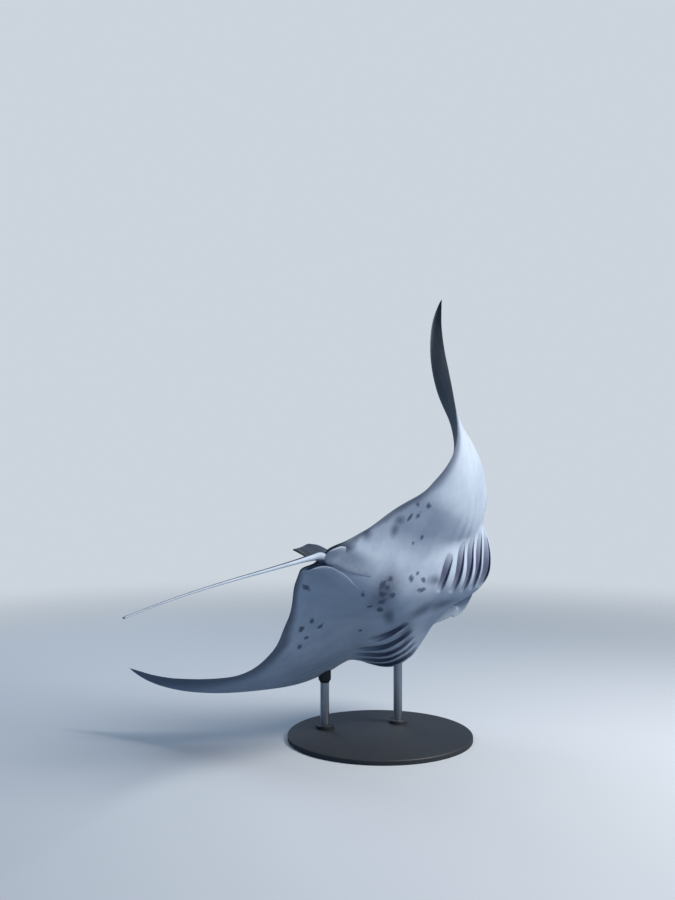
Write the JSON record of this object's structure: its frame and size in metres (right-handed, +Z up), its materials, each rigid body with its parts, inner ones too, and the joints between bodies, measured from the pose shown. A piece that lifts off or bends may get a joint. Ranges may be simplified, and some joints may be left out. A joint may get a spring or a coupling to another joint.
{
  "type": "manta ray",
  "caption": "Life-size reef manta ray gliding nose-down in a steep bank, right wing raised and left wing out low, whip tail trailing, held by short rods on a round base.",
  "frame": {"origin": "middle of the underside of the stand's base, on the floor", "axes": "+Z up; the animal heads towards -Y, its tail trails towards +Y, and it banks with its left wing low towards +X"},
  "size_m": [2.0523, 3.7809, 2.6773],
  "materials": {
    "back_skin": "wet satin, dark slate with pale shoulder patches and a pale lining at the rims",
    "belly_skin": "wet satin, off-white with grey margins and dark spots",
    "eye": "wet gloss, near black",
    "stand_paint": "matte charcoal paint",
    "stand_steel": "brushed"
  },
  "bodies": {
    "root": {"head": "back_skin", "throat": "belly_skin", "belly": "belly_skin", "pectoral_fin_right_root": "back_skin", "pectoral_fin_right_middle": "back_skin", "pectoral_fin_right_tip": "back_skin", "cephalic_fin_right": "back_skin", "pelvic_fin_right": "belly_skin", "eye_right": "eye", "pectoral_fin_left_root": "back_skin", "pectoral_fin_left_middle": "back_skin", "pectoral_fin_left_tip": "back_skin", "cephalic_fin_left": "back_skin", "pelvic_fin_left": "belly_skin", "eye_left": "eye", "dorsal_fin": "back_skin", "tail_root": "back_skin", "tail_middle": "back_skin", "tail_tip": "back_skin", "stand_base": "stand_paint", "stand_rod_head": "stand_steel", "stand_collar_head": "stand_paint", "stand_saddle_head": "stand_paint", "stand_rod_wing": "stand_steel", "stand_collar_wing": "stand_paint", "stand_saddle_wing": "stand_paint"}
  },
  "joints": []
}
